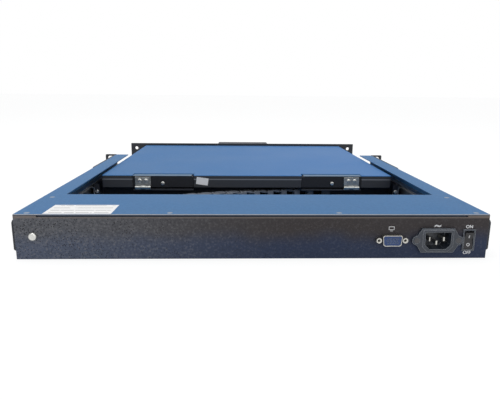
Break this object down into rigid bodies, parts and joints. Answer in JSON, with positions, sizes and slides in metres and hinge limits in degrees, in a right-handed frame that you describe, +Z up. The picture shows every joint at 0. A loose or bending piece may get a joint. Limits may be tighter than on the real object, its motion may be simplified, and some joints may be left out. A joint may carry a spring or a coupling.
{
  "type": "rackmount lcd console drawer",
  "caption": "Shallow rack drawer that slides out on telescopic rails and carries a folding flat screen, a keyboard and a touchpad, with a cable chain behind it.",
  "frame": {"origin": "centre of the slot pattern of the two rack ears, on the face that meets the rack's rails", "axes": "+Z up, +Y from the ears towards the rear panel, so the drawer slides out towards -Y; +X to the right of a user in front of the drawer"},
  "size_m": [0.4826, 0.6253, 0.0438],
  "materials": {
    "blue_paint": "satin steel-blue paint",
    "dark_paint": "fine textured dark paint",
    "zinc": "bright zinc plate",
    "slide_steel": "zinc-plated slide steel",
    "nickel": "nickel plate",
    "black_plastic": "fine-grained black plastic",
    "dark_gloss": "moulded dark plastic with a gloss edge",
    "insulator_blue": "blue moulded insulator",
    "screen_black": "dark display glass",
    "key_black": "black keycap plastic",
    "chain_plastic": "glass-filled nylon",
    "board_green": "circuit board"
  },
  "bodies": {
    "chassis": {"chassis_tray": "blue_paint", "rear_panel": "dark_paint", "rear_cover": "blue_paint", "rack_ears": "dark_paint", "rear_rails": "dark_paint", "chassis_screws": "zinc", "ground_screw": "nickel", "video_shell": "nickel", "video_insulator": "insulator_blue", "video_jackscrews": "nickel", "inlet_body": "dark_gloss", "inlet_pins": "nickel", "switch_frame": "dark_gloss", "slides_outer": "slide_steel", "chain_anchor_chassis": "zinc"},
    "middle_right": {"slide_middle_right": "slide_steel"},
    "middle_left": {"slide_middle_left": "slide_steel"},
    "drawer": {"slides_inner": "slide_steel", "drawer_tray": "dark_paint", "drawer_screws": "zinc", "front_panel": "dark_paint", "handle": "dark_paint", "keyboard_base": "black_plastic", "keyboard_bezel": "black_plastic", "touchpad": "black_plastic", "bay_cover": "zinc", "power_board": "board_green", "control_board": "board_green", "hinge_brackets": "dark_paint", "hinge_leaves_drawer": "zinc", "chain_anchor_drawer": "zinc"},
    "lid": {"lid_shell": "blue_paint", "lid_bezel": "black_plastic", "lcd_panel": "screen_black", "menu_board": "board_green", "hinge_covers": "black_plastic", "hinge_leaves_lid": "zinc", "hinge_screws": "zinc"},
    "menu_buttons": {"menu_buttons": "black_plastic"},
    "rocker": {"rocker": "black_plastic"},
    "release_bar": {"release_bar": "black_plastic"},
    "touch_button_left": {"touch_button_left": "black_plastic"},
    "touch_button_right": {"touch_button_right": "black_plastic"},
    "key_row_1": {"key_row_1": "key_black"},
    "key_row_2": {"key_row_2": "key_black"},
    "key_row_3": {"key_row_3": "key_black"},
    "key_row_4": {"key_row_4": "key_black"},
    "key_row_5": {"key_row_5": "key_black"},
    "key_row_6": {"key_row_6": "key_black"},
    "chain_01": {"chain_01": "chain_plastic"},
    "chain_02": {"chain_02": "chain_plastic"},
    "chain_03": {"chain_03": "chain_plastic"},
    "chain_04": {"chain_04": "chain_plastic"},
    "chain_05": {"chain_05": "chain_plastic"},
    "chain_06": {"chain_06": "chain_plastic"},
    "chain_07": {"chain_07": "chain_plastic"}
  },
  "joints": [
    {"name": "drawer_slide", "type": "slide", "parent": "chassis", "child": "drawer", "axis": [0, -1, 0], "range_m": [-0.172, 0.228]},
    {"name": "middle_slide_right", "type": "slide", "parent": "chassis", "child": "middle_right", "axis": [0, -1, 0], "range_m": [-0.087, 0.115]},
    {"name": "middle_slide_left", "type": "slide", "parent": "chassis", "child": "middle_left", "axis": [0, -1, 0], "range_m": [-0.087, 0.115]},
    {"name": "lid_hinge", "type": "hinge", "parent": "drawer", "child": "lid", "pos_m": [0, 0.1849, 0.0013], "axis": [-1, 0, 0], "range_deg": [0, 108]},
    {"name": "power_rocker", "type": "hinge", "parent": "chassis", "child": "rocker", "pos_m": [-0.2044, 0.4088, -0.0033], "axis": [1, 0, 0], "range_deg": [0, 14]},
    {"name": "release_press", "type": "slide", "parent": "drawer", "child": "release_bar", "axis": [0, 0, 1], "range_m": [0, 0.003], "stiffness_N_per_m": 800, "springref_m": -0.004},
    {"name": "menu_press", "type": "slide", "parent": "lid", "child": "menu_buttons", "axis": [0, 0, 1], "range_m": [0, 0.0005], "stiffness_N_per_m": 900, "springref_m": -0.001},
    {"name": "key_row_1_press", "type": "slide", "parent": "drawer", "child": "key_row_1", "axis": [0, 0, -1], "range_m": [0, 0.0026], "stiffness_N_per_m": 250, "springref_m": -0.004},
    {"name": "key_row_2_press", "type": "slide", "parent": "drawer", "child": "key_row_2", "axis": [0, 0, -1], "range_m": [0, 0.0026], "stiffness_N_per_m": 250, "springref_m": -0.004},
    {"name": "key_row_3_press", "type": "slide", "parent": "drawer", "child": "key_row_3", "axis": [0, 0, -1], "range_m": [0, 0.0026], "stiffness_N_per_m": 250, "springref_m": -0.004},
    {"name": "key_row_4_press", "type": "slide", "parent": "drawer", "child": "key_row_4", "axis": [0, 0, -1], "range_m": [0, 0.0026], "stiffness_N_per_m": 250, "springref_m": -0.004},
    {"name": "key_row_5_press", "type": "slide", "parent": "drawer", "child": "key_row_5", "axis": [0, 0, -1], "range_m": [0, 0.0026], "stiffness_N_per_m": 250, "springref_m": -0.004},
    {"name": "key_row_6_press", "type": "slide", "parent": "drawer", "child": "key_row_6", "axis": [0, 0, -1], "range_m": [0, 0.0026], "stiffness_N_per_m": 250, "springref_m": -0.004},
    {"name": "touch_left_press", "type": "slide", "parent": "drawer", "child": "touch_button_left", "axis": [0, 0, -1], "range_m": [0, 0.0008], "stiffness_N_per_m": 500, "springref_m": -0.002},
    {"name": "touch_right_press", "type": "slide", "parent": "drawer", "child": "touch_button_right", "axis": [0, 0, -1], "range_m": [0, 0.0008], "stiffness_N_per_m": 500, "springref_m": -0.002},
    {"name": "chain_hinge_01", "type": "hinge", "parent": "drawer", "child": "chain_01", "pos_m": [-0.1, 0.157, -0.0118], "axis": [0, 0, 1], "range_deg": [-9.82, 12.69]},
    {"name": "chain_hinge_02", "type": "hinge", "parent": "chain_01", "child": "chain_02", "pos_m": [-0.00196, 0.17613, -0.0118], "axis": [0, 0, 1], "range_deg": [-15.44, 20.14]},
    {"name": "chain_hinge_03", "type": "hinge", "parent": "chain_02", "child": "chain_03", "pos_m": [0.14695, 0.23419, -0.0118], "axis": [0, 0, 1], "range_deg": [-20.95, 16.05]},
    {"name": "chain_hinge_04", "type": "hinge", "parent": "chain_03", "child": "chain_04", "pos_m": [0.16069, 0.24872, -0.0118], "axis": [0, 0, 1], "range_deg": [-21.84, 16.72]},
    {"name": "chain_hinge_05", "type": "hinge", "parent": "chain_04", "child": "chain_05", "pos_m": [0.16422, 0.28709, -0.0118], "axis": [0, 0, 1], "range_deg": [-13.54, 10.46]},
    {"name": "chain_hinge_06", "type": "hinge", "parent": "chain_05", "child": "chain_06", "pos_m": [0.1174, 0.32142, -0.0118], "axis": [0, 0, 1], "range_deg": [-6.75, 5.34]},
    {"name": "chain_hinge_07", "type": "hinge", "parent": "chain_06", "child": "chain_07", "pos_m": [0.02154, 0.34845, -0.0118], "axis": [0, 0, 1], "range_deg": [-8.12, 6.37]}
  ],
  "couplings": [
    {"joint": "middle_slide_right", "follows": "drawer_slide", "ratio": 0.5},
    {"joint": "middle_slide_left", "follows": "drawer_slide", "ratio": 0.5},
    {"joint": "chain_hinge_01", "follows": "drawer_slide", "rad_per_m": 0.895},
    {"joint": "chain_hinge_02", "follows": "drawer_slide", "rad_per_m": 1.465},
    {"joint": "chain_hinge_03", "follows": "drawer_slide", "rad_per_m": -1.5275},
    {"joint": "chain_hinge_04", "follows": "drawer_slide", "rad_per_m": -1.595},
    {"joint": "chain_hinge_05", "follows": "drawer_slide", "rad_per_m": -0.96},
    {"joint": "chain_hinge_06", "follows": "drawer_slide", "rad_per_m": -0.44},
    {"joint": "chain_hinge_07", "follows": "drawer_slide", "rad_per_m": -0.545}
  ]
}
